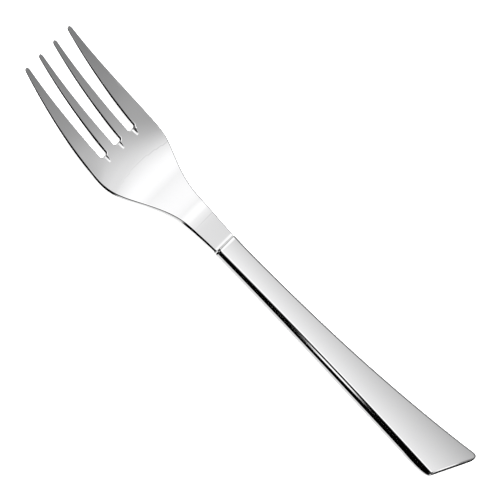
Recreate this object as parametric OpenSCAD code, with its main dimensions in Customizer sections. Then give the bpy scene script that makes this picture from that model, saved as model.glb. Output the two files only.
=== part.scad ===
// Steak fork with a hollow handle, lying face up.
// +X runs to the tine tips and +Z is up.
// The origin is on the table, under the middle of the fork's length and width.

/* [Head] */
// Length of the head, from the tine tips to the handle joint
head_len = 90; // [84:1:96]
// Greatest width of the palm
palm_w = 30.1; // [29:0.1:32]
// Width of the neck at the handle joint
neck_w = 8.7; // [8.2:0.1:9.6]
// Thickness of the palm
palm_t = 2.6; // [2:0.1:3]
// Thickness of the neck
neck_t = 2.5; // [2:0.1:2.6]
// Thickness of the tines at their tips
tip_t = 1.1; // [0.8:0.1:1.6]
// Height of the tine tips above the table
tip_h = 17.4; // [13:0.1:20]
// Rise of the palm's edges above its middle, the dish across the head
dish_h = 1; // [0:0.1:1.5]

/* [Tines] */
// Length of the slots between the tines
slot_len = 40; // [36:1:43]
// Distance from the middle line to the middle of an inner tine
inner_y = 3.7; // [3.5:0.1:3.9]
// Width of an inner tine at its root
inner_root_w = 3.8; // [3.4:0.1:4]
// Width of an inner tine at its tip
inner_tip_w = 1.6; // [1:0.1:1.8]
// Distance from the middle line to the inside of an outer tine at its root
outer_root_y = 8.85; // [8.4:0.05:9.2]
// Distance from the middle line to the inside of an outer tine at its tip
outer_tip_y = 10.15; // [10:0.05:10.6]
// Corner radius at the root of a slot
slot_r = 0.8; // [0.4:0.1:1.1]
// Length of the polished ramp behind each slot
runout_len = 2.7; // [2:0.1:4]
// Width of a ramp's floor
runout_w = 0.7; // [0.4:0.1:1]
// Depth of a ramp where it meets the slot
runout_h = 0.65; // [0.4:0.05:0.8]
// The same for the slot nearest the handle's long side
runout_deep = 1; // [0.8:0.1:1.3]
// Length of the pointed end of a tine
tip_len = 1.5; // [1.2:0.1:3]

/* [Handle] */
// Length of the handle along its middle line
handle_len = 107.9; // [95:0.1:120]
// Width of the handle at the joint
handle_w = 8; // [7.6:0.1:8.6]
// How much the long side swings out at the end
flare_long = 6.5; // [4:0.1:7]
// How much the short side swings out at the end
flare_short = 3; // [1.5:0.1:4]
// Height of the handle's top above the table, along its middle line
handle_top = 7.95; // [7.6:0.05:9]
// Height of the underside above the table at the joint
front_rise = 2.1; // [1.4:0.1:2.4]
// Height of the underside above the table at the end
butt_rise = 5.4; // [3:0.1:5.6]
// Lengthwise slant of the end, for each unit of width
butt_slant = 0.45; // [0.2:0.01:0.5]
// Rounding of the long corner at the end
long_corner_r = 2.6; // [1.6:0.1:2.8]
// Rounding of the short corner at the end
short_corner_r = 0.5; // [0.3:0.1:1]
// Rounding of the short side's corner at the joint
front_corner_r = 0.8; // [0.4:0.1:1]
// Radius of the edges of the underside
back_r = 0.45; // [0.3:0.05:0.6]
// Height of the drafted part of the sides
back_h = 3.3; // [2.5:0.1:3.5]
// How far the drafted part leans in, for each unit of height
back_draft = 0.15; // [0.08:0.01:0.2]
// Radius of the top edge along the short side
top_r = 0.8; // [0.4:0.1:1]
// Radius of the top edge along the long side
long_r = 1.3; // [0.6:0.1:1.4]
// Radius of the top edge at the end
butt_r = 0.8; // [0.4:0.1:1]
// Radius of the shallow hollow across the top
top_hollow_r = 130; // [100:5:400]

/* [Construction] */
// Thickness of the pressed sheet
wall = 0.9; // [0.7:0.1:1]
// Thickness of the solid end behind the cavity
butt_wall = 3.2; // [3:0.1:5]
// Height of the parting plane of the two shells
parting_z = 6; // [5.9:0.05:6.1]
// Thickness of the brazed seam between the shells
seam_t = 0.16; // [0.1:0.02:0.3]
// How far the neck's top lies under the handle's top
joint_step = 0.65; // [0.5:0.05:0.9]
// Width of the brazed gap between the neck and the handle
joint_gap = 0.26; // [0.16:0.02:0.4]
// Length of the tang inside the handle
tang_len = 34; // [24:1:50]
// Width of the tang
tang_w = 4.4; // [3.6:0.1:4.8]
// Thickness of the tang
tang_t = 1.7; // [1.4:0.1:1.8]

/* [Hidden] */

steel = "silver";
filler = "darkkhaki";
cement = "tan";

// Clearance of the tang in its notch and of the cement in the cavity
play = 0.03;
// Control spacing of the head's curves, and the samples drawn along it and across it
width_step = head_len / 9;
height_step = head_len / 18;
head_samples = 48;
across_samples = 8;
tine_samples = 14;
tip_samples = 12;
// Slopes of a ramp's two sides, and the curve of its floor
runout_slopes = [1.3, 3];
runout_power = 0.75;
// How far the tines run back into the palm, so that they join it
tine_root = 1.5;
// Curve of the tines' taper, from the root to the tip
taper_power = 1.3;
// The dish starts and is full at these shares of the head's length from the joint
dish_from = 0.35;
dish_full = 0.62;
// The neck swells towards the joint, over this length and by this height
lip_len = 1;
lip_h = 0.35;
// Rounding of the neck's corners at the joint, seen from above
neck_corner_r = 0.3;
// Curves of the two flared sides
long_power = 2.9;
short_power = 1.7;
// The handle lies a little to its long side, off the middle line
handle_shift = 0.18;
// The long side also widens a little towards the joint, over this share of the handle's length
front_flare = 0.3;
front_share = 0.12;
// Share of the handle's length where the sections start to slant with the end
slant_from = 0.6;
// The underside slopes down to a flat land, which starts here along the handle
land_start = 70;
land_blend = 8;
// Length of the upturned nose at the end of the underside
nose_len = 13;
// The drafted part of the sides gets lower along the nose, by this share, and bends in over this height
nose_share = 0.57;
draft_bend = 0.6;
// The underside is drawn this much deep and planed off level with the table
planed = 0.15;
// Rounding of the handle's front top edge, as a length and a fall
front_round = 1.1;
front_fall = 0.4;
// Thickness of the handle's front wall
front_wall = 1.6;
// Sections along the handle, and points on an edge's arc and across the top
handle_sections = 30;
corner_sections = 5;
arc_points = 6;
cross_points = 6;
// Gap along the handle between the two sections that make a wall's face
face_gap = 0.1;

neck_top = handle_top - joint_step;

// Cubic blend of four evenly spaced control values, with t from 0 to 1
function blend4(a, b, c, d, t) =
    (a * pow(1 - t, 3) + b * (3 * pow(t, 3) - 6 * t * t + 4)
     + c * (-3 * pow(t, 3) + 3 * t * t + 3 * t + 1) + d * pow(t, 3)) / 6;

// Smooth curve along the head: the first control value lies one step behind the joint
function along(values, step, e) =
    let (i = min(floor(e / step), len(values) - 4))
    blend4(values[i], values[i + 1], values[i + 2], values[i + 3], e / step - i);

// Smooth step from 0 to 1
function ease(t) = let (c = max(0, min(1, t))) c * c * (3 - 2 * c);

// Fall of a rounded end of radius r, at a distance s from that end
function end_round(r, s) = s >= r ? 0 : r - sqrt(r * r - (r - s) * (r - s));

// Shape of the head: share of the way from the neck's width to the palm's
width_shape = [0, 0, 0.05, 0.13, 0.515, 1.05, 1, 0.96, 0.88, 0.79, 0.7, 0.61];
// Shape of the head from the side: share of the way from the palm up to the neck, then up to the tips
neck_fall = [1, 1, 1, 1, 0.96, 0.69, 0.41, 0.18, 0.04, -0.01];
tine_rise = [0.015, 0.06, 0.12, 0.2, 0.295, 0.405, 0.53, 0.67, 0.83, 1, 1.23];
// Thickness along the head
plate_t = concat([for (i = [0:2]) neck_t], [(neck_t + palm_t) / 2, palm_t],
                 [for (i = [0:6]) palm_t + (tip_t - palm_t) * i / 5]);

half_widths = [for (s = width_shape) (neck_w + (palm_w - neck_w) * s) / 2];
heights = concat([for (s = neck_fall) palm_t + (neck_top - palm_t) * s],
                 [for (s = tine_rise) palm_t + (tip_h - palm_t) * s]);

// The head's half width, top and underside at a distance e from the joint
function half_w(e) = along(half_widths, width_step, e) - end_round(neck_corner_r, e);
function mid_z(e) = along(heights, height_step, e);
function top_z(e) = mid_z(e) + (e < lip_len ? lip_h * pow(1 - e / lip_len, 2) : 0);
function under_z(e) = mid_z(e) - along(plate_t, width_step, e);
function dish_z(e, y) = let (share = e / head_len - dish_from)
    dish_h * ease(share / (dish_full - dish_from)) * pow(2 * y / palm_w, 2);

// Widths of the tines at a distance a from the tip
function taper(root, tip, a) = root + (tip - root) * pow(max(0, 1 - a / slot_len), taper_power);
function inner_half(a) = taper(inner_root_w, inner_tip_w, a) / 2;
function inner_edges(a) = [inner_y - inner_half(a), inner_y + inner_half(a)];
function outer_edges(a) = [taper(outer_root_y, outer_tip_y, a), half_w(head_len - a)];

// The handle's sections lie at shares q of its length, behind the joint
sections = [for (i = [0:handle_sections]) i / handle_sections];
end_shares = [for (i = [1:corner_sections])
    1 - long_corner_r / handle_len * (1 - sin(90 * i / corner_sections))];
front_shares = [for (i = [0:corner_sections])
    front_round / handle_len * (1 - cos(90 * i / corner_sections))];
wall_q = front_wall / handle_len;
butt_q = 1 - butt_wall / handle_len;
gap_q = face_gap / handle_len;
// Shares between the two end walls, and those of each end wall
cavity_shares = concat([wall_q + gap_q],
                       [for (q = sections) if (q > wall_q + 2 * gap_q && q < butt_q - 2 * gap_q) q],
                       [butt_q - gap_q]);
butt_shares = concat([butt_q, 1 - long_corner_r / handle_len], end_shares);
front_wall_shares = concat(front_shares, [wall_q]);

function slant(q) = butt_slant * ease((q - slant_from) / (1 - slant_from));
function long_y(q) = -(handle_w / 2 + handle_shift + flare_long * pow(q, long_power)
                       + front_flare * pow(max(0, 1 - q / front_share), 2)
                       - end_round(long_corner_r, (1 - q) * handle_len));
function short_y(q) = handle_w / 2 - handle_shift + flare_short * pow(q, short_power)
                      - end_round(front_corner_r, q * handle_len)
                      - end_round(short_corner_r, (1 - q) * handle_len);
function place_x(q, y) = -joint_gap - q * handle_len + slant(q) * y;

// Underside of the handle: a slope, a flat land and an upturned nose
slope = front_rise / land_start;
function slope_z(t) = t > land_blend ? slope * t
    : t < -land_blend ? 0 : slope * pow(t + land_blend, 2) / (4 * land_blend);
function nose_z(s) = s > nose_len ? 0 : butt_rise * (1 - sqrt(1 - pow(1 - s / nose_len, 2)));
function back_z(q) = slope_z(land_start - q * handle_len) + nose_z((1 - q) * handle_len) - planed;
function draft_h(q) = back_h * (1 - nose_share * max(0, 1 - (1 - q) * handle_len / nose_len));
function roof_z(q) = handle_top - end_round(front_round, q * handle_len) * front_fall / front_round
                     - end_round(butt_r, (1 - q) * handle_len);

// Outline of the handle seen from above, between two lists of sections
function outline(shares, inset = 0) = concat(
    [for (q = shares) [place_x(q, short_y(q) - inset), short_y(q) - inset]],
    [for (i = [len(shares) - 1:-1:0])
        let (q = shares[i]) [place_x(q, long_y(q) + inset), long_y(q) + inset]]);

all_shares = concat(front_wall_shares, cavity_shares, butt_shares);
handle_outline = outline(all_shares);

// The fork's length along X is shared out on both sides of the origin
butt_reach = -min([for (p = handle_outline) p[0]]);
joint_x = (butt_reach - head_len) / 2;

// How far a side has leaned in at a distance d past the start of its edge, which is h high
function lean_in(d, r, h, draft) =
    draft * (sqrt(d * d + draft_bend * draft_bend) - draft_bend) + end_round(r, h - d);

// Edge from a side to the top or underside, as distances in from the side and up or down from the rim
function edge_points(r, height, draft, most) =
    let (h = min(height, 0.95 * most))
    [for (i = [0:arc_points])
        let (d = h * sin(90 * i / arc_points)) [lean_in(d, min(r, h), h, draft), most - h + d]];

// One closed section of a half shell: the outside from side to side, then the inside back again
function shell_section(q, rim_z, out_z, short_edge, long_edge, bend, hollow_y, floor_z) =
    let (up = sign(out_z - rim_z),
         l = short_y(q),
         m = long_y(q),
         l_end = l - short_edge[arc_points][0],
         m_end = m + long_edge[arc_points][0],
         l_z = rim_z + bend * l_end * l_end,
         m_z = rim_z + bend * m_end * m_end,
         outside = concat(
             [[l, rim_z]],
             [for (p = short_edge) [l - p[0], l_z + up * p[1]]],
             [for (i = [1:cross_points - 1])
                 let (y = l_end + (m_end - l_end) * i / cross_points) [y, out_z + bend * y * y]],
             [for (i = [arc_points:-1:0])
                 let (p = long_edge[i]) [m + p[0], m_z + up * p[1]]],
             [[m, rim_z]]),
         inside = [[hollow_y[0], rim_z], [hollow_y[0], floor_z],
                   [hollow_y[1], floor_z], [hollow_y[1], rim_z]])
    [for (p = concat(outside, inside)) [place_x(q, p[0]), p[0], p[1]]];

// Triangles that close a section: a fan from each inner corner to the outside, and one between the fans
outside_n = 2 * arc_points + cross_points + 3;
middle = floor(outside_n / 2);
section_n = outside_n + 4;
section_cap = concat(
    [for (j = [0:middle - 1]) [outside_n + 2, j, j + 1]],
    [for (j = [middle:outside_n - 2]) [outside_n + 1, j, j + 1]],
    [[outside_n + 3, 0, outside_n + 2], [outside_n + 2, middle, outside_n + 1],
     [outside_n + 1, outside_n - 1, outside_n]]);

// Skin over a row of shell sections, closed at both ends
module skin(rows, flip) {
    n = section_n;
    last = (len(rows) - 1) * n;
    sides = [for (i = [0:n:last - n]) for (j = [0:n - 1])
        let (a = i + j, b = i + (j + 1) % n)
        each [[a, b, b + n], [a, b + n, a + n]]];
    ends = [for (t = section_cap) each [[t[2], t[1], t[0]], [for (k = t) last + k]]];
    faces = concat(sides, ends);
    polyhedron(points = [for (row = rows) each row], convexity = 6,
               faces = flip ? [for (f = faces) [f[2], f[1], f[0]]] : faces);
}

// Half shell with a notch for the tang in its front wall, a cavity and a solid end
module half_shell(rim_z, outs, radii, edge_h, draft, bend, flip) {
    up = sign(outs[0] - rim_z);
    mosts = [for (z = outs) abs(z - rim_z)];
    short_edges = [for (i = [0:len(outs) - 1]) edge_points(radii[0], edge_h[0][i], draft, mosts[i])];
    long_edges = [for (i = [0:len(outs) - 1]) edge_points(radii[1], edge_h[1][i], draft, mosts[i])];
    notch_y = [-tang_w / 2 - play, tang_w / 2 + play];
    notch_z = parting_z + up * (tang_t / 2 + play);
    n_front = len(front_wall_shares);
    n_cavity = len(cavity_shares);
    skin([for (i = [0:len(all_shares) - 1])
        let (q = all_shares[i],
             s = short_edges[i],
             g = long_edges[i],
             hollow_y = [long_y(q) + wall, short_y(q) - wall])
        i < n_front
            ? shell_section(q, rim_z, outs[i], s, g, bend, notch_y, notch_z)
        : i < n_front + n_cavity
            ? shell_section(q, rim_z, outs[i], s, g, bend, hollow_y, outs[i] - up * wall)
            : shell_section(q, rim_z, outs[i], s, g, bend, hollow_y, rim_z + up * face_gap)], flip);
}

// Point of a tine's side, at a distance a from the tip: f runs from 0 on one side to 180 on the other
function side_point(edges, a, f) =
    [head_len - a, (edges[0] + edges[1]) / 2 - (edges[1] - edges[0]) / 2 * cos(f)];

// One tine seen from above, with a pointed tip
module tine(inner) {
    reach = [for (i = [tine_samples:-1:0])
        tip_len + (slot_len + tine_root - tip_len) * i / tine_samples];
    turns = [for (i = [1:tip_samples - 1]) 180 * i / tip_samples];
    rows = concat([for (a = reach) [a, 0]],
                  [for (f = turns) [tip_len * (1 - sin(f)), f]],
                  [for (i = [tine_samples:-1:0]) [reach[i], 180]]);
    polygon([for (r = rows) side_point(inner ? inner_edges(r[0]) : outer_edges(r[0]), r[0], r[1])]);
}

// The head seen from above: palm, neck and tines, with rounded slot roots
module head_plan() {
    root_e = head_len - slot_len;
    rows = concat([for (i = [0:corner_sections]) neck_corner_r * (1 - cos(90 * i / corner_sections))],
                  [for (i = [1:head_samples]) let (e = root_e * i / head_samples)
                      if (e > neck_corner_r) e]);
    offset(r = -slot_r) offset(delta = slot_r) {
        polygon(concat([for (e = rows) [e, half_w(e)]],
                       [for (i = [len(rows) - 1:-1:0]) [rows[i], -half_w(rows[i])]]));
        for (side = [0, 1], inner = [false, true])
            mirror([0, side, 0]) tine(inner);
    }
}

// Bent and dished plate that the head is cut from
module head_plate() {
    rows = concat([for (i = [0:corner_sections - 1]) lip_len * i / corner_sections],
                  [for (i = [0:head_samples]) lip_len + (head_len - lip_len) * i / head_samples]);
    m = across_samples + 1;
    span = palm_w + neck_w;
    columns = [for (j = [0:across_samples]) span * (j / across_samples - 0.5)];
    n = len(rows) * m;
    quads = concat(
        [for (i = [0:len(rows) - 2]) for (j = [0:m - 2])
            let (a = i * m + j)
            each [[a, a + 1, a + m + 1, a + m], [n + a, n + a + m, n + a + m + 1, n + a + 1]]],
        [for (i = [0:len(rows) - 2]) let (a = i * m, b = i * m + m - 1)
            each [[a, a + m, n + a + m, n + a], [b, n + b, n + b + m, b + m]]],
        [for (j = [0:m - 2]) let (c = n - m + j)
            each [[j, n + j, n + j + 1, j + 1], [c, c + 1, n + c + 1, n + c]]]);
    polyhedron(
        points = concat([for (e = rows) for (y = columns) [e, y, top_z(e) + dish_z(e, y)]],
                        [for (e = rows) for (y = columns) [e, y, under_z(e) + dish_z(e, y)]]),
        faces = [for (f = quads) each [[f[0], f[1], f[2]], [f[0], f[2], f[3]]]],
        convexity = 6);
}

// Section of a ramp's cutter at a distance e from the joint, drawn a little proud of the surface
function ramp_section(e, y, depth) =
    let (share = max(0, (e - head_len + slot_len) / runout_len + 1),
         d = depth * pow(share, runout_power),
         top = top_z(e) + dish_z(e, y),
         proud = 0.3,
         low = y - runout_w / 2,
         high = y + runout_w / 2)
    [[e, low - (d + proud) / runout_slopes[0], top + proud], [e, low, top - d],
     [e, high, top - d], [e, high + (d + proud) / runout_slopes[1], top + proud]];

// Ramp that leads a slot out onto the palm
module runout(y, depth) {
    root_e = head_len - slot_len;
    rows = [for (share = [0, 0.2, 0.5, 1]) root_e - runout_len * (1 - share)];
    cuts = [for (e = concat(rows, [root_e + slot_r])) ramp_section(e, y, depth)];
    last = 4 * (len(cuts) - 1);
    quads = concat([[0, 1, 2, 3], [last + 3, last + 2, last + 1, last]],
                   [for (i = [0:4:last - 4]) for (j = [0:3])
                       let (a = i + j, b = i + (j + 1) % 4) [a, a + 4, b + 4, b]]);
    polyhedron(points = [for (c = cuts) each c], convexity = 4,
               faces = [for (f = quads) each [[f[0], f[1], f[2]], [f[0], f[2], f[3]]]]);
}

module tang(grow = 0) {
    translate([-tang_len - joint_gap, -tang_w / 2 - grow, parting_z - tang_t / 2 - grow])
        cube([tang_len + joint_gap + lip_len, tang_w + 2 * grow, tang_t + 2 * grow]);
}

module fork_head() {
    slot_y = (inner_y + inner_root_w / 2 + outer_root_y) / 2;
    color(steel) translate([joint_x, 0, 0]) {
        difference() {
            intersection() {
                linear_extrude(tip_h + dish_h + palm_t) head_plan();
                head_plate();
            }
            runout(-slot_y, runout_deep);
            runout(0, runout_h);
            runout(slot_y, runout_h);
        }
        tang();
    }
}

module handle_upper_shell() {
    color(steel) translate([joint_x, 0, 0])
        half_shell(parting_z + seam_t / 2, [for (q = all_shares) roof_z(q)], [top_r, long_r],
                   [for (r = [top_r, long_r]) [for (q = all_shares) r]], 0, 1 / (2 * top_hollow_r),
                   false);
}

module handle_lower_shell() {
    color(steel) translate([joint_x, 0, 0])
        difference() {
            half_shell(parting_z - seam_t / 2, [for (q = all_shares) back_z(q)], [back_r, back_r],
                       [for (side = [0, 1]) [for (q = all_shares) draft_h(q)]], back_draft, 0, true);
            translate([-1.5 * handle_len, -palm_w, -palm_t])
                cube([2 * handle_len, 2 * palm_w, palm_t]);
        }
}

module shell_seam_braze() {
    color(filler) translate([joint_x, 0, parting_z - seam_t / 2])
        linear_extrude(seam_t)
            difference() {
                polygon(handle_outline);
                polygon(outline(cavity_shares, wall));
                translate([-joint_gap - 1.5 * front_wall, -tang_w / 2 - play])
                    square([2 * front_wall, tang_w + 2 * play]);
            }
}

module neck_braze() {
    inset = 0.1;
    low_z = neck_top - neck_t + play;
    color(filler) translate([joint_x, 0, 0])
        difference() {
            translate([-joint_gap, -handle_w / 2 - handle_shift + inset, low_z])
                cube([joint_gap, handle_w - front_corner_r - inset, neck_top + inset - low_z]);
            tang();
        }
}

module tang_cement() {
    plug_len = tang_len + wall;
    color(cement) translate([joint_x, 0, 0])
        difference() {
            intersection() {
                linear_extrude(handle_top) polygon(outline(cavity_shares, wall + play));
                translate([-joint_gap - plug_len, -palm_w, front_rise + wall])
                    cube([plug_len - front_wall - face_gap - play, 2 * palm_w,
                          handle_top - 2 * wall - play - front_rise]);
            }
            tang(play);
        }
}

fork_head();
handle_upper_shell();
handle_lower_shell();
shell_seam_braze();
neck_braze();
tang_cement();
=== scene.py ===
"""Dresses a packed steak fork: a polished head, a two-shell handle, its fillers and a studio stage."""

import math
from types import SimpleNamespace

import bpy
import numpy as np
from bpy.props import FloatProperty, FloatVectorProperty, PointerProperty
from mathutils import Matrix, Vector
from mathutils.geometry import delaunay_2d_cdt


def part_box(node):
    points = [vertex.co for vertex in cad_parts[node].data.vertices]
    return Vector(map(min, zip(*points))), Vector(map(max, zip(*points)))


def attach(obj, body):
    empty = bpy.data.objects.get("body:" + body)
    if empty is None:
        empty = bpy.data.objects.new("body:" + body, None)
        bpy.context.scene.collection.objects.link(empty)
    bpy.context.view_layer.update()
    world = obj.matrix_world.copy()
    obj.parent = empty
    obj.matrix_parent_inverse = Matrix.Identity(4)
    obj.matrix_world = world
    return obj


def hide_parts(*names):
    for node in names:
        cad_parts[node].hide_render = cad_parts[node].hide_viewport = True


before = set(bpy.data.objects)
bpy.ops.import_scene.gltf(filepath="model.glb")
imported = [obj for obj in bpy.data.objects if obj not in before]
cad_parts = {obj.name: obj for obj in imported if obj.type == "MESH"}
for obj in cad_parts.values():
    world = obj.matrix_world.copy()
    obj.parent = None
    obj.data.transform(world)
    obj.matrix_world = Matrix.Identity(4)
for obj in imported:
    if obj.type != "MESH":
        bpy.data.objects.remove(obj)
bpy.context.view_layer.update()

bl_info = {
    "name": "Steak fork",
    "version": (1, 0, 0),
    "blender": (4, 5, 0),
    "location": "3D View > Sidebar > Fork",
    "description": "Builds a mirror-polished fork with a hollow handle round its solids",
    "category": "Add Mesh",
}

MM = 0.001

# What the solids give: the joint with its brazed gap, the two rims and the reach of the tines.
GAP_LOW, GAP_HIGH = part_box("neck_braze")
SEAM_LOW, SEAM_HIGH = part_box("shell_seam_braze")
SEAM_Z = (SEAM_LOW.z + SEAM_HIGH.z) / 2
JOINT_X = GAP_HIGH.x
HEAD_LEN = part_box("fork_head")[1].x - JOINT_X
NINTH, EIGHTEENTH = HEAD_LEN / 9, HEAD_LEN / 18

# Shape of the head: share of the way from the neck's width to the palm's, at ninths of its length
WIDTH_SHAPE = [0, 0, 0.05, 0.13, 0.515, 1.05, 1, 0.96, 0.88, 0.79, 0.7, 0.61]
# Shape from the side at eighteenths: from the palm up to the neck, then from the palm up to the tips
NECK_FALL = [1, 1, 1, 1, 0.96, 0.69, 0.41, 0.18, 0.04, -0.01]
TINE_RISE = [0.015, 0.06, 0.12, 0.2, 0.295, 0.405, 0.53, 0.67, 0.83, 1, 1.23]


def length(name, description, millimetres):
    """A length that a user may change."""
    return FloatProperty(name=name, description=description, default=millimetres * MM,
                         unit="LENGTH", precision=5)


def angle(name, description, degrees):
    """An angle that a user may change."""
    return FloatProperty(name=name, description=description, default=math.radians(degrees),
                         subtype="ANGLE")


def share(name, description, default):
    """A plain number that a user may change."""
    return FloatProperty(name=name, description=description, default=default, precision=3)


def tint(name, description, default):
    """A linear colour that a user may change."""
    return FloatVectorProperty(name=name, description=description, default=default,
                               subtype="COLOR", size=3, min=0, max=1)


def size_labels(group):
    """The names of a property group's values, each with its label."""
    return {key: value.name for key, value in group.bl_rna.properties.items()
            if key not in ("rna_type", "name")}


class ForkHeadSizes(bpy.types.PropertyGroup):
    """Sizes of the forged head."""

    palm_w: length("Palm width", "Greatest width of the palm", 30.098)
    neck_w: length("Neck width", "Width of the neck at the joint", 8.7)
    palm_t: length("Palm thickness", "Thickness of the palm", 2.6)
    neck_t: length("Neck thickness", "Thickness of the neck", 2.5)
    neck_top: length("Neck height", "Height of the neck's top", 7.3)
    tip_t: length("Tip thickness", "Thickness of the tine tips", 1.1)
    tip_h: length("Tip height", "Height of the tine tips", 17.4)
    dish_h: length("Dish", "Rise of the palm's edges", 1)
    dish_from: share("Dish start", "Share of the length where the dish starts", 0.35)
    dish_full: share("Dish full", "Share of the length where it is full", 0.62)
    neck_hollow_r: length("Neck hollow", "Radius of the hollow across the neck", 320)
    neck_crown: length("Neck crown", "Rise of the neck's top towards the shoulders", 0.45)
    neck_corner_r: length("Neck corner", "Radius of the neck's corners", 0.3)
    lip_len: length("Lip length", "Length of the swell at the neck's end", 1)
    lip_h: length("Lip height", "Height of the swell at the neck's end", 0.35)
    slot_len: length("Slot length", "Length of the slots", 40)
    slot_r: length("Slot corner", "Radius at the root of a slot", 0.8)
    inner_y: length("Inner tine place", "Middle line to an inner tine", 3.7)
    inner_root_w: length("Inner root width", "Width of an inner tine at its root", 3.8)
    inner_tip_w: length("Inner tip width", "Width of an inner tine at its tip", 1.6)
    outer_root_y: length("Outer root place", "Middle line to an outer tine's root", 8.85)
    outer_tip_y: length("Outer tip place", "Middle line to an outer tine's tip", 10.15)
    taper_power: share("Taper", "Curve of the tines' taper", 1.3)
    runout_len: length("Run-out length", "Length of the ramp behind a slot", 2.7)
    runout_w: length("Run-out width", "Width of a ramp's floor", 0.7)
    runout_h: length("Run-out depth", "Depth of a ramp at its slot", 0.62)
    runout_deep: length("Deep run-out", "The same on the long side", 0.95)
    tip_len: length("Tip length", "Length of a tine's pointed end", 1.5)
    top_r: length("Long top edge", "Radius of the top's edge on the -Y side", 0.5)
    short_top_r: length("Short top edge", "Radius of the top's edge on the +Y side", 0.42)
    tine_top_r: length("Tine top edge", "Radius of the tines' edges on top", 0.2)
    joint_r: length("Joint edge", "Radius of the edges at the joint", 0.1)
    under_r: length("Under edge", "Radius of the palm's edges underneath", 0.9)
    side_lean: share("Side lean", "Lean of the sides for each unit of height", 0.026)
    shoulder_lean: share("Shoulder lean", "Added lean at the shoulders", 0.075)
    tip_lean: share("Tip lean", "Added lean at the tips", 0.045)
    tine_r: length("Tine edge", "Radius of the tines' edges underneath", 0.5)
    tang_len: length("Tang length", "Length of the tang", 34)
    tang_w: length("Tang width", "Width of the tang", 4.4)
    tang_t: length("Tang thickness", "Thickness of the tang", 1.7)


class ForkHandleSizes(bpy.types.PropertyGroup):
    """Sizes of the two pressed shells of the handle."""

    handle_len: length("Length", "Length along the middle line", 107.89)
    handle_w: length("Width", "Width at the joint", 8)
    handle_shift: length("Shift", "Shift towards the long side", 0.18)
    flare_long: length("Long flare", "Swing of the long side", 6.5)
    flare_short: length("Short flare", "Swing of the short side", 3)
    front_flare: length("Front flare", "Widening of the long side to the joint", 0.3)
    front_share: share("Front flare share", "Share of the length that widens", 0.12)
    long_power: share("Long curve", "Curve of the long side", 2.9)
    short_power: share("Short curve", "Curve of the short side", 1.7)
    butt_slant: share("Slant", "Slant of the end for each unit of width", 0.45)
    slant_from: share("Slant start", "Share of the length where the slant starts", 0.6)
    long_corner_r: length("Long corner", "Radius of the long corner", 2.6)
    short_corner_r: length("Short corner", "Radius of the short corner", 0.5)
    front_corner_r: length("Front corner", "Radius of the short side's corner at the joint", 0.8)
    handle_top: length("Top height", "Height of the top's middle line", 7.95)
    top_hollow_r: length("Top hollow", "Radius of the hollow across the top", 130)
    top_r: length("Top edge", "Radius along the short side", 0.8)
    long_r: length("Long top edge", "Radius along the long side", 1.3)
    back_r: length("Back edge", "Radius of the edges of the underside", 0.45)
    back_h: length("Draft height", "Height of the sides' draft", 3.3)
    back_draft: share("Draft", "Lean of the draft for each unit of height", 0.15)
    draft_bend: length("Draft bend", "Height of the bend into the draft", 0.6)
    nose_share: share("Nose draft", "Loss of the draft's height along the nose", 0.57)
    swell_r: length("Side swell", "Radius of the sides below the seam", 80)
    crease: angle("Crease", "Angle between the top and its rounded edges", 12.5)
    butt_r: length("Butt edge", "Radius of the top edge at the end", 0.25)
    butt_bevel: length("Butt bevel", "Length of the bevel at the end", 0.527)
    butt_slope: share("Bevel slope", "Fall for each unit of length", 0.47)
    front_round: length("Front rounding", "Length of the rounded front edge", 1.1)
    front_fall: length("Front fall", "Fall of the rounded front edge", 0.4)
    front_wall: length("Front wall", "Thickness of the wall at the joint", 1.6)
    front_rise: length("Front rise", "Height of the underside at the joint", 2.1)
    butt_rise: length("Butt rise", "Height of the underside at the end", 5.4)
    land_start: length("Land start", "From the joint to the flat land", 70)
    land_blend: length("Land blend", "Half length of the bend into the land", 8)
    nose_len: length("Nose length", "Length of the upturned end", 13)
    planed: length("Planed", "Depth planed off the underside", 0.15)
    wall: length("Wall", "Thickness of the pressed sheet", 0.9)
    butt_wall: length("Butt wall", "Thickness of the solid end", 3.2)


class ForkFinish(bpy.types.PropertyGroup):
    """Colours and polish of the materials."""

    steel: tint("Steel", "Colour of the steel", (0.8, 0.8, 0.805))
    steel_worn: tint("Worn steel", "Colour of its duller clouds", (0.77, 0.77, 0.775))
    steel_polish: share("Polish", "Roughness of the steel", 0.012)
    braze: tint("Braze", "Colour of the filler", (0.72, 0.72, 0.715))
    braze_dark: tint("Dark braze", "Colour of the filler in its pores", (0.6, 0.595, 0.58))
    cement: tint("Cement", "Colour of the cutler's cement", (0.3, 0.17, 0.08))
    cement_grain: tint("Cement grain", "Colour of the filler grains", (0.55, 0.42, 0.27))


class ForkStudio(bpy.types.PropertyGroup):
    """Camera, light and floor."""

    elevation: angle("Elevation", "Camera's height above the horizon", 66)
    roll: angle("Roll", "Turn of the camera about its own axis", 45)
    distance: length("Distance", "From the camera to the fork", 6000)
    view_width: length("View width", "Width of the picture at the fork", 170.2)
    aim_back: length("Aim along", "From the joint back to the picture's middle", 7.59)
    aim_y: length("Aim across", "Picture's middle, across the fork", -4.3)
    aim_z: length("Aim height", "Picture's middle, above the table", 8)
    floor_size: length("Floor size", "Side of the floor", 6000)
    floor: tint("Floor", "Colour of the floor", (0.86, 0.86, 0.86))
    floor_glow: share("Floor glow", "Light of the table itself", 0.7)
    key_power: share("Key light", "Watts of the soft light on the floor", 80)
    reflector_gain: share("Reflectors", "Strength of the reflectors", 1.33)


def operator(operation, swapped=False):
    """A method that joins two numbers in a node."""
    def method(self, other):
        return self.graph.math(operation, *((other, self) if swapped else (self, other)))
    return method


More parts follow.
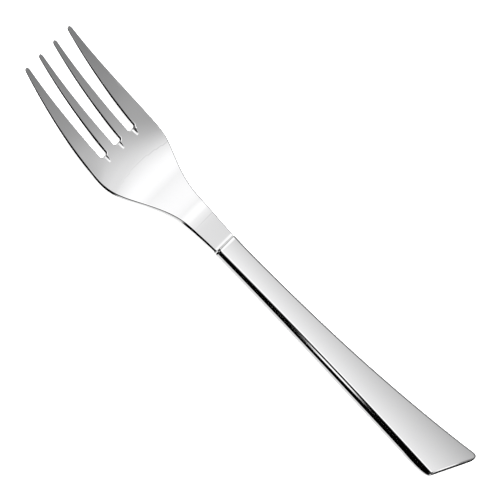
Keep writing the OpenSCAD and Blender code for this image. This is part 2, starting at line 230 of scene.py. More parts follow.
class Num:
    """A number in a node tree, on which sums are written as Python expressions."""

    __add__ = __radd__ = operator("ADD")
    __mul__ = __rmul__ = operator("MULTIPLY")
    __sub__ = operator("SUBTRACT")
    __rsub__ = operator("SUBTRACT", swapped=True)
    __truediv__ = operator("DIVIDE")
    __pow__ = operator("POWER")
    __gt__ = operator("GREATER_THAN")
    at_least = operator("MAXIMUM")
    at_most = operator("MINIMUM")

    def __init__(self, graph, socket):
        self.graph = graph
        self.socket = socket

    def __neg__(self):
        return self * -1

    def unit(self):
        """Held between 0 and 1."""
        return self.at_least(0).at_most(1)

    def eased(self):
        """Smooth step from 0 to 1."""
        held = self.unit()
        return held * held * (3 - 2 * held)

    def rise(self, low, high):
        """Smooth step from 0 at low to 1 at high."""
        return ((self - low) / (high - low)).eased()

    def between(self, low, low_full, high_full, high):
        """Smooth step up to 1, and down again."""
        return self.rise(low, low_full) * (1 - self.rise(high_full, high))

    def call(self, operation):
        return self.graph.math(operation, self)

    def mix(self, other, factor):
        """This number where the factor is 0, and the other where it is 1."""
        return self + (other - self) * factor


class Graph:
    """A node tree with one method that adds a node."""

    def __init__(self, tree):
        self.tree = tree
        tree.nodes.clear()

    def node(self, kind, sockets=None, **settings):
        """A node of that type: its settings, then its sockets, where a node stands for its first output."""
        node = self.tree.nodes.new(kind)
        for key, value in settings.items():
            setattr(node, key, value)
        for key, value in (sockets or {}).items():
            if isinstance(value, Num):
                value = value.socket
            elif isinstance(value, bpy.types.Node):
                value = value.outputs[0]
            if isinstance(value, bpy.types.NodeSocket):
                self.tree.links.new(value, node.inputs[key])
            else:
                node.inputs[key].default_value = value
        return node

    def num(self, node, output=0):
        return Num(self, node.outputs[output])

    def math(self, operation, *values):
        return self.num(self.node("ShaderNodeMath", dict(enumerate(values)), operation=operation))

    def split(self, vector):
        """The three parts of a vector."""
        parts = self.node("ShaderNodeSeparateXYZ", {0: vector})
        return [self.num(parts, axis) for axis in range(3)]

    def curve(self, value, reach, points):
        """Straight lines through (value, level) points, with values up to the reach on both sides of 0."""
        ramp = self.node("ShaderNodeValToRGB", {0: (value + reach) / (2 * reach)})
        elements = ramp.color_ramp.elements
        while len(elements) < len(points):
            elements.new(1)
        for element, (place, level) in zip(elements, points):
            element.position = (place + reach) / (2 * reach)
            element.color = (level, level, level, 1)
        return self.num(ramp)

    def noise(self, vector, scale, detail):
        return self.num(self.node("ShaderNodeTexNoise", {"Vector": vector, "Scale": scale, "Detail": detail}))

    def blend(self, factor, colour_a, colour_b):
        """A colour between two others."""
        mix = self.node("ShaderNodeMix", {0: factor, 6: (*colour_a, 1), 7: (*colour_b, 1)}, data_type="RGBA")
        return mix.outputs[2]

    def bump(self, strength, depth, height):
        """The normal of a surface with a relief."""
        return self.node("ShaderNodeBump", {"Strength": strength, "Distance": depth, "Height": height})

    def surface(self, sockets):
        """Ends a material's tree in a shader with those sockets."""
        self.node("ShaderNodeOutputMaterial", {0: self.node("ShaderNodeBsdfPrincipled", sockets)})


def new_material(name):
    material = bpy.data.materials.new(name)
    material.use_nodes = True
    return material, Graph(material.node_tree)


def stretched(graph, scale):
    """Object coordinates, drawn out along an axis."""
    place = graph.node("ShaderNodeTexCoord").outputs["Object"]
    return graph.node("ShaderNodeMapping", {"Vector": place, "Scale": scale})


def mirror_steel(finish):
    """Mirror polish with faint lengthwise buffing lines and duller clouds."""
    material, graph = new_material("mirror_steel")
    lines = graph.noise(stretched(graph, (60, 2600, 2600)), 1, 3)
    clouds = graph.noise(stretched(graph, (45, 90, 90)), 1, 3)
    graph.surface({
        "Base Color": graph.blend(clouds, finish.steel, finish.steel_worn),
        "Metallic": 1,
        "Roughness": finish.steel_polish + 0.012 * clouds + 0.006 * lines,
        "Normal": graph.bump(0.004, 0.02 * MM, lines),
    })
    return material


def brazed_filler(finish):
    """Hard filler, polished flush, with fine pores."""
    material, graph = new_material("brazed_filler")
    pores = graph.noise(stretched(graph, (3000, 3000, 3000)), 1, 2).rise(0.55, 0.7)
    graph.surface({
        "Base Color": graph.blend(pores, finish.braze, finish.braze_dark),
        "Metallic": 1,
        "Roughness": 0.03 + 0.03 * pores,
        "Normal": graph.bump(0.03, 0.02 * MM, 1 - pores),
    })
    return material


def grainy_cement(finish):
    """Dull brown resin with pale filler grains."""
    material, graph = new_material("grainy_cement")
    place = stretched(graph, (1, 1, 1))
    grains = graph.node("ShaderNodeTexVoronoi", {"Vector": place, "Scale": 1800})
    grain = graph.num(grains).rise(0.25, 0.55)
    clouds = graph.noise(place, 300, 4)
    graph.surface({
        "Base Color": graph.blend(grain * clouds, finish.cement_grain, finish.cement),
        "Roughness": 0.7 + 0.2 * clouds,
        "Normal": graph.bump(0.4, 0.08 * MM, grain),
    })
    return material


def finish_of(slot):
    """The procedural material of one of the record's slots, made once."""
    makers = {"polished_steel": mirror_steel, "braze_filler": brazed_filler, "cutlers_cement": grainy_cement}
    made = bpy.data.materials.get(makers[slot].__name__)
    return made or makers[slot](bpy.context.scene.fork_finish)


def add_object(name, data):
    added = bpy.data.objects.new(name, data)
    bpy.context.scene.collection.objects.link(added)
    return added


def add_piece(name, mesh, node):
    """Puts a finished mesh in the scene in place of a CAD node."""
    piece = add_object(name, mesh)
    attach(piece, "root")
    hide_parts(node)


def spline(values, step, e):
    """Smooth curve along the head, with the first control value a step behind the joint."""
    values = np.asarray(values)
    first = np.clip(np.floor(e / step).astype(int), 0, len(values) - 4)
    t = e / step - first
    weights = ((1 - t) ** 3, 3 * t**3 - 6 * t**2 + 4, -3 * t**3 + 3 * t**2 + 3 * t + 1, t**3)
    return sum(weight * values[first + n] for n, weight in enumerate(weights)) / 6


def rise(x, low, high):
    """Smooth step from 0 at low to 1 at high."""
    held = np.clip((x - low) / (high - low), 0, 1)
    return held * held * (3 - 2 * held)


def end_round(radius, s):
    """Fall of a rounded end at a distance s from that end."""
    gap = np.clip(radius - s, 0, radius)
    return radius - np.sqrt(radius * radius - gap * gap)


def soft(x):
    """The number where it is positive and nothing where it is not, with a small rounding between."""
    return (x + np.sqrt(x * x + (0.012 * MM) ** 2)) / 2


def unit_rows(vectors):
    return vectors / np.linalg.norm(vectors, axis=-1, keepdims=True)


class HeadShape:
    """The head's outline and surfaces, with e the distance from the handle joint."""

    side_samples = 170
    tine_samples = 70
    tip_samples = 24
    corner_samples = 8
    root_samples = 22
    end_samples = 14
    edge_steps = 6
    lattice = 0.55 * MM
    probe = 0.01 * MM
    # From a rim to the points inside it
    top_margin, under_margin = 0.9 * MM, 1.5 * MM
    # Closer points round a ramp: spacing along it, places across it, and reach in ramp lengths
    fine_lattice, fine_places, fine_reach = 0.1 * MM, np.arange(-1.6, 0.8, 0.06) * MM, 1.15
    # Slopes of a ramp's walls on its -Y and +Y sides, the power by which it deepens, and its reach in lengths
    low_slope, high_slope, ramp_power, ramp_reach = 0.85, 3, 0.75, 1.6
    # Shares of the head's length over which a form fades in or out
    hollow_fades, crown_fades, crown_full = (0.12, 0.24), (0.15, 0.4), 0.15
    shoulder_grows, shoulder_fades, tip_grows = (0.13, 0.2), (0.34, 0.42), (0.8, 1)
    # Distances over which edges change: past the slots' roots, along the short side, and across
    root_change, short_change, side_change = (-2 * MM, 4 * MM), (6 * MM, 18 * MM), (-2 * MM, 2 * MM)
    # Turn of the top's shading round a slope, and how fast it dies away from it
    level_slope, level_turn, turn_reach = 0.008, 0.012, 0.03

    def __init__(self, sizes):
        self.s = s = sizes
        self.half_widths = [(s.neck_w + (s.palm_w - s.neck_w) * w) / 2 for w in WIDTH_SHAPE]
        self.heights = ([s.palm_t + (s.neck_top - s.palm_t) * h for h in NECK_FALL]
                        + [s.palm_t + (s.tip_h - s.palm_t) * h for h in TINE_RISE])
        self.plate_t = ([s.neck_t] * 3 + [(s.neck_t + s.palm_t) / 2, s.palm_t]
                        + [s.palm_t + (s.tip_t - s.palm_t) * i / 5 for i in range(7)])
        self.root_e = HEAD_LEN - s.slot_len
        outer_slot = (s.inner_y + s.inner_root_w / 2 + s.outer_root_y) / 2
        self.slot_ys = (-outer_slot, 0, outer_slot)

    def half_w(self, e):
        return spline(self.half_widths, NINTH, e) - end_round(self.s.neck_corner_r, e)

    def dish(self, e, y):
        s = self.s
        return s.dish_h * rise(e / HEAD_LEN, s.dish_from, s.dish_full) * (2 * y / s.palm_w) ** 2

    def groove(self, e, y):
        """Depth of the ramps behind the slots, with a steeper wall on their +Y side."""
        s = self.s
        way = (e - self.root_e + s.runout_len) / s.runout_len
        grow = np.sign(way) * np.abs(way) ** self.ramp_power
        depth = 0
        for slot_y, deep in zip(self.slot_ys, (s.runout_deep, s.runout_h, s.runout_h)):
            aside = y - slot_y
            low, high = soft(-aside - s.runout_w / 2), soft(aside - s.runout_w / 2)
            depth = depth + soft(deep * grow - self.low_slope * low - self.high_slope * high)
        return depth

    def top(self, e, y):
        s = self.s
        lip = s.lip_h * np.clip(1 - e / s.lip_len, 0, 1) ** 2
        q = e / HEAD_LEN
        hollow = (1 - rise(q, *self.hollow_fades)) * y**2 / (2 * s.neck_hollow_r)
        crown = s.neck_crown * np.minimum(q / self.crown_full, 1) * (1 - rise(q, *self.crown_fades))
        plate = spline(self.heights, EIGHTEENTH, e) + self.dish(e, y) + hollow + lip + crown
        near_root = (e > self.root_e - self.ramp_reach * s.runout_len) & (e < self.root_e + s.slot_r)
        return plate - np.where(near_root, self.groove(e, y), 0)

    def under(self, e, y):
        plate = spline(self.plate_t, NINTH, e)
        return spline(self.heights, EIGHTEENTH, e) - plate + self.dish(e, y)

    def normals(self, surface, plan, facing):
        """Unit normals of a surface over plan points, facing up with 1 or down with -1."""
        e, y = plan[:, 0], plan[:, 1]
        d = self.probe
        slope_e = (surface(e + d, y) - surface(e - d, y)) / (2 * d)
        slope_y = (surface(e, y + d) - surface(e, y - d)) / (2 * d)
        if facing > 0:
            # Shading only: the top seems to turn faster where it is level, so that the handle's narrow
            # light draws hardly any line across the palm and the neck
            off = slope_e - self.level_slope
            slope_e = slope_e + self.level_turn * np.sign(off) * np.exp(-np.abs(off) / self.turn_reach)
        return unit_rows(np.stack([-slope_e, -slope_y, np.ones_like(e)], 1)) * facing

    def taper(self, root, tip, a):
        s = self.s
        return root + (tip - root) * np.clip(1 - a / s.slot_len, 0, 1) ** s.taper_power

    def tine_edges(self, tine, a):
        """The two sides of a tine, counted from -Y, at distances a from its tip."""
        s = self.s
        if tine in (0, 3):
            inside = self.taper(s.outer_root_y, s.outer_tip_y, a)
            outside = self.half_w(HEAD_LEN - a)
            return (-outside, -inside) if tine == 0 else (inside, outside)
        half = self.taper(s.inner_root_w, s.inner_tip_w, a) / 2
        middle = s.inner_y if tine == 2 else -s.inner_y
        return middle - half, middle + half

    def tip(self, tine):
        """The pointed end of a tine, from its -Y side to its +Y side."""
        f = np.linspace(0, math.pi, self.tip_samples + 1)[1:-1]
        reach = self.s.tip_len * (1 - np.sin(f))
        low, high = self.tine_edges(tine, reach)
        return np.stack([HEAD_LEN - reach, (low + high) / 2 - (high - low) / 2 * np.cos(f)], 1)

    def tine_reach(self):
        """Distances from the tip along a slot, from its root corner to the pointed end."""
        return np.linspace(self.s.slot_len - self.s.slot_r, self.s.tip_len, self.tine_samples)

    def slot_root(self, tine):
        """The rounded root of the slot on a tine's +Y side."""
        r = self.s.slot_r
        reach = self.tine_reach()[0]
        low = self.tine_edges(tine, reach)[1]
        high = self.tine_edges(tine + 1, reach)[0]
        f = np.linspace(0, math.pi / 2, self.corner_samples + 1)
        first = np.stack([self.root_e + r - r * np.sin(f), low + r - r * np.cos(f)], 1)
        last = np.stack([self.root_e + r - r * np.cos(f), high - r + r * np.sin(f)], 1)
        straight = np.linspace(low + r, high - r, self.root_samples)[1:-1]
        middle = np.stack([np.full_like(straight, self.root_e), straight], 1)
        return np.concatenate([first[1:], middle, last[:-1]])

    def side_rows(self):
        """Distances from the joint along a side, closer together at the neck's corner."""
        f = np.linspace(0, math.pi / 2, self.corner_samples + 1)[:-1]
        corner = self.s.neck_corner_r * (1 - np.cos(f))
        straight = np.linspace(self.s.neck_corner_r, HEAD_LEN - self.s.tip_len, self.side_samples)
        return np.concatenate([corner, straight])

    def outline(self):
        """The head seen from above, counter-clockwise from the neck's corner on the -Y side."""
        rows = self.side_rows()
        side = np.stack([rows, self.half_w(rows)], 1)
        parts = [side * (1, -1)]
        for tine in range(4):
            reach = self.tine_reach()
            low, high = self.tine_edges(tine, reach)
            if tine > 0:
                parts.append(np.stack([HEAD_LEN - reach, low], 1))
            parts.append(self.tip(tine))
            if tine < 3:
                parts.append(np.stack([HEAD_LEN - reach, high], 1)[::-1])
                parts.append(self.slot_root(tine))
        parts.append(side[::-1])
        across = np.linspace(side[0, 1], -side[0, 1], self.end_samples)[1:-1]
        parts.append(np.stack([np.zeros_like(across), across], 1))
        return np.concatenate(parts)

    def inside_points(self, margin, fine):
        """Points spread over the plan, clear of its edge by the margin."""
        points = []
        for e in np.arange(margin, HEAD_LEN - margin, self.lattice):
            if e < self.root_e - margin:
                spans = [(-self.half_w(e), self.half_w(e))]
            elif e < self.root_e + self.s.slot_r:
                continue
            else:
                spans = [self.tine_edges(tine, HEAD_LEN - e) for tine in range(4)]
            for low, high in spans:
                count = max(1, round((high - low - 2 * margin) / self.lattice) + 1)
                if high - low > 2 * margin:
                    points += [(e, y) for y in np.linspace(low + margin, high - margin, count)]
        if fine:
            first = self.root_e - self.fine_reach * self.s.runout_len
            rows = np.arange(first, self.root_e - margin, self.fine_lattice)
            points += [(e, slot_y + y) for slot_y in self.slot_ys for e in rows for y in self.fine_places]
        return np.array(points)

    def edge_radii(self, e, y):
        """Radii of the edges above and below along the outline."""
        s = self.s
        past_joint = rise(e, 0, s.lip_len)
        past_root = rise(e - self.root_e, *self.root_change)
        short_r = s.joint_r + (s.short_top_r - s.joint_r) * rise(e, *self.short_change)
        top_r = s.top_r + (short_r - s.top_r) * rise(y, *self.side_change)
        above = s.joint_r + (top_r - s.joint_r) * past_joint + (s.tine_top_r - top_r) * past_root
        below = s.joint_r + (s.under_r - s.joint_r) * past_joint + (s.tine_r - s.under_r) * past_root
        # A tip narrows to a point, so its edges get finer too
        near_tip = np.clip(1 - (HEAD_LEN - e) / s.tip_len, 0, 1)
        most = 0.05 * MM + 0.3 * s.inner_tip_w * np.sqrt(1 - near_tip**2)
        most = np.where(near_tip > 0, most, 1)
        return np.minimum(above, most), np.minimum(below, most)

    def lean(self, e):
        """How far the sides lean in for each unit of height."""
        s, q = self.s, e / HEAD_LEN
        shoulder = rise(q, *self.shoulder_grows) * (1 - rise(q, *self.shoulder_fades))
        return s.side_lean + s.shoulder_lean * shoulder + s.tip_lean * rise(q, *self.tip_grows)


class Skin:
    """Vertices, normals and faces that are gathered into one smooth mesh."""

    def __init__(self):
        self.vertices = []
        self.normals = []
        self.faces = []

    def add(self, vertices, normals):
        """Adds vertices and returns their numbers."""
        first = len(self.vertices)
        self.vertices.extend(map(tuple, vertices))
        self.normals.extend(map(tuple, unit_rows(np.asarray(normals, float))))
        return np.arange(first, len(self.vertices))

    def band(self, ring_a, ring_b):
        """Quads between two closed rings of vertices."""
        self.faces += [(a, b, d, c) for a, b, c, d in
                       zip(ring_a, ring_b, np.roll(ring_a, -1), np.roll(ring_b, -1))]

    def fan(self, ring, centre):
        self.faces += [(a, b, centre) for a, b in zip(ring, np.roll(ring, -1))]

    def mesh(self, name, material):
        mesh = bpy.data.meshes.new(name)
        mesh.from_pydata(self.vertices, [], [tuple(map(int, face)) for face in self.faces])
        mesh.materials.append(material)
        mesh.shade_smooth()
        mesh.normals_split_custom_set_from_vertices(self.normals)
        return mesh


def fill_plan(rim, points):
    """Triangles over the area inside a rim: all plan points, the rim's numbers in them, and the faces."""
    scale = 1 / MM
    loop = [(i, (i + 1) % len(rim)) for i in range(len(rim))]
    coords = [Vector(p) for p in np.concatenate([rim, points]) * scale]
    plan, _, faces, sources, _, _ = delaunay_2d_cdt(coords, loop, [], 1, 1e-6)
    place = {source: i for i, found in enumerate(sources) for source in found}
    return np.array([p[:] for p in plan]) / scale, np.array([place[i] for i in range(len(rim))]), faces


def add_cap(skin, shape, rim, surface, facing):
    """One face of the head, within its rounded edge. Returns the rim's vertices."""
    margin = shape.top_margin if facing > 0 else shape.under_margin
    plan, rim_places, faces = fill_plan(rim, shape.inside_points(margin, facing > 0))
    height = surface(plan[:, 0], plan[:, 1])
    numbers = skin.add(np.column_stack([plan, height]) + (JOINT_X, 0, 0),
                       shape.normals(surface, plan, facing))
    order = (0, 1, 2) if facing > 0 else (2, 1, 0)
    skin.faces += [tuple(numbers[face[i]] for i in order) for face in faces]
    return numbers[rim_places]


def add_edge(skin, shape, out, lean, rim, radii, surface, facing):
    """Rounded edge from a face's rim out to the leaning wall. Returns the rings."""
    height = surface(rim[:, 0], rim[:, 1])
    normals = shape.normals(surface, rim, facing)
    wall = unit_rows(np.column_stack([out, -lean]))
    rings = []
    for f in np.linspace(0, math.pi / 2, shape.edge_steps + 1)[1:]:
        plan = rim + out * (radii * math.sin(f))[:, None]
        z = height - facing * radii * (1 - math.cos(f))
        turned = normals * math.cos(f) + wall * math.sin(f)
        rings.append(skin.add(np.column_stack([plan, z]) + (JOINT_X, 0, 0), turned))
    return rings


def add_tang(skin, sizes):
    """The tapered tang, a rounded bar that starts inside the neck."""
    count, power = 28, 6
    f = np.linspace(0, 2 * math.pi, count, endpoint=False)
    c, s = np.cos(f), np.sin(f)
    swell = (np.abs(c) ** power + np.abs(s) ** power) ** (-1 / power)
    section = np.stack([c * swell, s * swell], 1)
    out = np.sign(section) * np.abs(section) ** (power - 1) / (sizes.tang_w, sizes.tang_t)
    end_x = GAP_LOW.x - sizes.tang_len
    stations = ((JOINT_X + sizes.lip_len, 0.98), (GAP_LOW.x, 1), (end_x + 6 * MM, 1),
                (end_x + 0.3 * MM, 0.7), (end_x, 0.6))
    rings = []
    for x, grow in stations:
        ring = np.column_stack([np.full(count, x), section[:, 0] * grow * sizes.tang_w / 2,
                                SEAM_Z + section[:, 1] * grow * sizes.tang_t / 2])
        rings.append(skin.add(ring, np.column_stack([np.zeros(count), out])))
    for ring_a, ring_b in zip(rings, rings[1:]):
        skin.band(ring_a[::-1], ring_b[::-1])
    front, back = (skin.add([(x, 0, SEAM_Z)], [(side, 0, 0)])[0]
                   for x, side in ((stations[0][0], 1), (stations[-1][0], -1)))
    skin.fan(rings[0], front)
    skin.fan(rings[-1][::-1], back)


class FORK_OT_head(bpy.types.Operator):
    """Forged head: tines, palm, neck and tang"""

    bl_idname = "fork.head"
    bl_label = "Head"

    def execute(self, context):
        sizes = context.scene.fork_head
        shape = HeadShape(sizes)
        outline = shape.outline()
        along = np.roll(outline, -1, 0) - np.roll(outline, 1, 0)
        out = unit_rows(np.stack([along[:, 1], -along[:, 0]], 1))
        lean = shape.lean(outline[:, 0])
        inset = lean * spline(shape.plate_t, NINTH, outline[:, 0])
        skin = Skin()
        sides = []
        for radii, surface, facing in zip(shape.edge_radii(*outline.T),
                                          (shape.top, shape.under), (1, -1)):
            rim = outline - out * (radii + (0 if facing > 0 else inset))[:, None]
            cap_rim = add_cap(skin, shape, rim, surface, facing)
            sides.append([cap_rim] + add_edge(skin, shape, out, lean, rim, radii, surface, facing))
        rings = sides[0] + sides[1][::-1]
        for ring_a, ring_b in zip(rings, rings[1:]):
            skin.band(ring_a, ring_b)
        add_tang(skin, sizes)
        mesh = skin.mesh("Fork_Head", finish_of("polished_steel"))
        add_piece("Fork_Head", mesh, "fork_head")
        return {"FINISHED"}


SHELL_ROWS = 220
OUTSIDE_POINTS = 63
INSIDE_POINTS = 18
# Shares of the way from the middle of the outside to its rim: the end of the flat, then of the edge's arc
FLAT_END = 14 / 31
ARC_END = 26 / 31
# Most of a half's height that its rounded edge may take, and least angles of a sharp edge
EDGE_SHARE = 0.95
UPPER_SHARP, LOWER_SHARP = math.radians(22), math.radians(40)


def rounded_end(radius, s):
    """Fall of a rounded end at a distance s from that end, as nodes."""
    gap = (radius - s).at_least(0)
    return radius - (radius * radius - gap * gap).at_least(0).call("SQRT")


def shell_inputs(graph, sizes):
    """Named inputs of a shell's tree, one for each size of the handle."""
    source = graph.tree.interface
    labels = {**size_labels(sizes), "rim_z": "Rim height", "front_x": "Front place",
              "notch_w": "Notch width", "notch_z": "Notch height"}
    keys = {key: source.new_socket(label, in_out="INPUT", socket_type="NodeSocketFloat").identifier
            for key, label in labels.items()}
    steel = source.new_socket("Material", in_out="INPUT", socket_type="NodeSocketMaterial").identifier
    source.new_socket("Geometry", in_out="OUTPUT", socket_type="NodeSocketGeometry")
    entry = graph.node("NodeGroupInput")
    values = {key: graph.num(entry, i) for i, key in enumerate(labels)}
    return SimpleNamespace(**values), keys, steel, entry.outputs["Material"]


def roof_height(s, run):
    """Middle of the handle's top, rounded off at both ends."""
    front = rounded_end(s.front_round, run) * s.front_fall / s.front_round
    left = s.handle_len - run
    bevel = s.butt_slope * (s.butt_bevel - left).at_least(0)
    return s.handle_top - front - bevel - rounded_end(s.butt_r, left)


def back_height(s, run):
    """Underside of the handle: a slope, a flat land and an upturned nose."""
    slope = s.front_rise / s.land_start
    ahead = s.land_start - run
    bend = (ahead + s.land_blend).at_least(0)
    curved = slope * bend * bend / (4 * s.land_blend)
    beyond = ahead > s.land_blend
    nose = (1 - (s.handle_len - run) / s.nose_len).at_least(0)
    lift = s.butt_rise * (1 - (1 - nose * nose).at_least(0).call("SQRT"))
    return curved.mix(slope * ahead, beyond) + lift - s.planed


def shell_edge(s, radius, height, start, bend, most=None, drop=None):
    """A rounded edge: how far it lies in from the side and below the flat, and how far in it ends."""
    def lean_in(d):
        return rounded_end(radius.at_most(height), height - d)

    def draft_in(d):
        wall_h = most - height
        drafted = (d * d + s.draft_bend * s.draft_bend).call("SQRT") - s.draft_bend
        swell = wall_h * (wall_h / 2 * (1 - drop) * (1 - drop) + d) / s.swell_r
        return lean_in(d) + s.back_draft * drafted + swell

    inset = lean_in if most is None else draft_in
    d = height * (start + bend * (math.pi / 2 - start)).call("COSINE")
    first = height * start.call("COSINE")
    return SimpleNamespace(inset=inset(d), fall=first - d, most=inset(first))


def shell_tree(name, sizes, upper):
    """Nodes that bend a tube into a half shell: its outside, then its inside, in each section."""
    graph = Graph(bpy.data.node_groups.new(name, "GeometryNodeTree"))
    s, keys, steel, steel_socket = shell_inputs(graph, sizes)
    up = 1 if upper else -1
    around = OUTSIDE_POINTS + INSIDE_POINTS
    tube = graph.node("GeometryNodeMeshCylinder", {
        "Vertices": around, "Side Segments": SHELL_ROWS, "Radius": 1, "Depth": 1}, fill_type="NGON")
    z = graph.split(graph.node("GeometryNodeInputPosition"))[2]
    point = graph.math("MODULO", graph.num(graph.node("GeometryNodeInputIndex")), around)

    # Along the handle, with rows closer together at both ends
    q = (z + 0.5).eased()
    run = q * s.handle_len
    left = s.handle_len - run
    widened = (1 - q / s.front_share).at_least(0)
    long_y = -(s.handle_w / 2 + s.handle_shift + s.flare_long * q**s.long_power
               + s.front_flare * widened * widened - rounded_end(s.long_corner_r, left))
    short_y = (s.handle_w / 2 - s.handle_shift + s.flare_short * q**s.short_power
               - rounded_end(s.front_corner_r, run) - rounded_end(s.short_corner_r, left))
    height = roof_height(s, run) if upper else back_height(s, run)
    most = (height - s.rim_z).call("ABSOLUTE")

    # Outside: across the flat, round the edge and straight to the rim
    t = point * (2 / (OUTSIDE_POINTS - 1)) - 1
    away = t.call("ABSOLUTE")
    flat = (t / FLAT_END).at_least(-1).at_most(1)
    bend = ((away - FLAT_END) / (ARC_END - FLAT_END)).unit()
    drop = ((away - ARC_END) / (1 - ARC_END)).unit()
    if upper:
        long_edge, short_edge = (shell_edge(s, radius, radius.at_most(EDGE_SHARE * most), s.crease, bend)
                                 for radius in (s.long_r, s.top_r))
    else:
        nose = (1 - left / s.nose_len).at_least(0)
        drafted = (s.back_h * (1 - s.nose_share * nose)).at_most(EDGE_SHARE * most)
        long_edge = short_edge = shell_edge(s, s.back_r, drafted, 0 * s.crease, bend, most, drop)
    on_short = t > 0
    flat_y = (long_y + long_edge.most).mix(short_y - short_edge.most, (flat + 1) / 2)
    edge_y = (long_y + long_edge.inset).mix(short_y - short_edge.inset, on_short)
    out_y = flat_y.mix(edge_y, away > FLAT_END)
    arc_z = height - up * long_edge.fall.mix(short_edge.fall, on_short)
    if upper:
        arc_z = arc_z + flat_y * flat_y / (2 * s.top_hollow_r)
    out_z = arc_z.mix(s.rim_z, drop)

    # Inside: a notch for the tang in the front wall, the cavity, and level at the solid end
    w = 1 - (point - OUTSIDE_POINTS) * (1 / (INSIDE_POINTS - 1))
    level = (w * 4).at_most((1 - w) * 4).unit()
    cross = ((w - 0.25) * 2).unit()
    in_front = s.front_wall > run
    in_end = s.butt_wall > left
    floor_z = (height - up * s.wall).mix(s.notch_z, in_front).mix(s.rim_z + up * 0.02 * MM, in_end)
    low_y = (long_y + s.wall).mix(-s.notch_w / 2, in_front)
    high_y = (short_y - s.wall).mix(s.notch_w / 2, in_front)
    in_y = low_y.mix(high_y, cross)
    in_z = s.rim_z.mix(floor_z, level)

    inside = point > OUTSIDE_POINTS - 0.5
    place_y = out_y.mix(in_y, inside)
    place_z = out_z.mix(in_z, inside).at_least(0)
    slant = s.butt_slant * ((q - s.slant_from) / (1 - s.slant_from)).eased()
    place_x = s.front_x - run + slant * place_y
    place = graph.node("ShaderNodeCombineXYZ", {0: place_x, 1: place_y, 2: place_z})
    moved = graph.node("GeometryNodeSetPosition", {"Geometry": tube, "Position": place})
    smooth = graph.node("GeometryNodeSetShadeSmooth", {"Geometry": moved}, domain="FACE")
    sharp = graph.num(graph.node("GeometryNodeInputMeshEdgeAngle")) > (UPPER_SHARP if upper else LOWER_SHARP)
    if upper:
        # The crease lies between the flat and the arc
        on_edge = graph.num(graph.node("GeometryNodeFieldOnDomain", {0: away}, domain="POINT"))
        sharp = sharp.at_least(-(on_edge - FLAT_END).call("ABSOLUTE") > -0.004)
    creased = graph.node("GeometryNodeSetShadeSmooth", {
        "Geometry": smooth, "Selection": sharp, "Shade Smooth": False}, domain="EDGE")
    shell = graph.node("GeometryNodeFlipFaces", {"Mesh": creased}) if upper else creased
    real = graph.node("GeometryNodeRealizeInstances", {"Geometry": shell})
    dressed = graph.node("GeometryNodeSetMaterial", {"Geometry": real, "Material": steel_socket})
    graph.node("NodeGroupOutput", {0: dressed})
    return graph.tree, keys, steel


def grow_shell(name, sizes, values, upper):
    """Evaluates a shell's tree and returns its plain mesh."""
    tree, keys, steel = shell_tree(name, sizes, upper)
    carrier = add_object(name + "_tree", bpy.data.meshes.new(name + "_tree"))
    modifier = carrier.modifiers.new("Shell", "NODES")
    modifier.node_group = tree
    for key, identifier in keys.items():
        modifier[identifier] = values[key] if key in values else getattr(sizes, key)
    modifier[steel] = finish_of("polished_steel")
    depsgraph = bpy.context.evaluated_depsgraph_get()
    mesh = bpy.data.meshes.new_from_object(carrier.evaluated_get(depsgraph))
    mesh.name = name
    # The tube brings an empty slot before the steel's
    mesh.materials.clear()
    mesh.materials.append(finish_of("polished_steel"))
    mesh.polygons.foreach_set("material_index", [0] * len(mesh.polygons))
    bpy.data.objects.remove(carrier)
    bpy.data.node_groups.remove(tree)
    if not mesh.polygons:
        raise RuntimeError("the tree of %s gave no faces" % name)
    return mesh


class FORK_OT_shells(bpy.types.Operator):
    """The handle's two pressed shells"""

    bl_idname = "fork.shells"
    bl_label = "Handle shells"

    def execute(self, context):
        sizes = context.scene.fork_handle
        tang = context.scene.fork_head
        play = 0.03 * MM
        for name, node, up, rim_z in (
                ("Handle_Upper_Half", "handle_upper_shell", 1, SEAM_HIGH.z),
                ("Handle_Lower_Half", "handle_lower_shell", -1, SEAM_LOW.z)):
            values = {"rim_z": rim_z, "front_x": GAP_LOW.x, "notch_w": tang.tang_w + 2 * play,
                      "notch_z": SEAM_Z + up * (tang.tang_t / 2 + play)}
            add_piece(name, grow_shell(name, sizes, values, up > 0), node)
        return {"FINISHED"}


class FORK_OT_fillers(bpy.types.Operator):
    """Finishes of the brazed seam, the brazed neck joint and the cement"""

    bl_idname = "fork.fillers"
    bl_label = "Fillers"

    def execute(self, context):
        for node, slot in (("shell_seam_braze", "braze_filler"), ("neck_braze", "braze_filler"),
                           ("tang_cement", "cutlers_cement")):
            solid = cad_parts[node]
            solid.data.materials.clear()
            solid.data.materials.append(finish_of(slot))
        return {"FINISHED"}


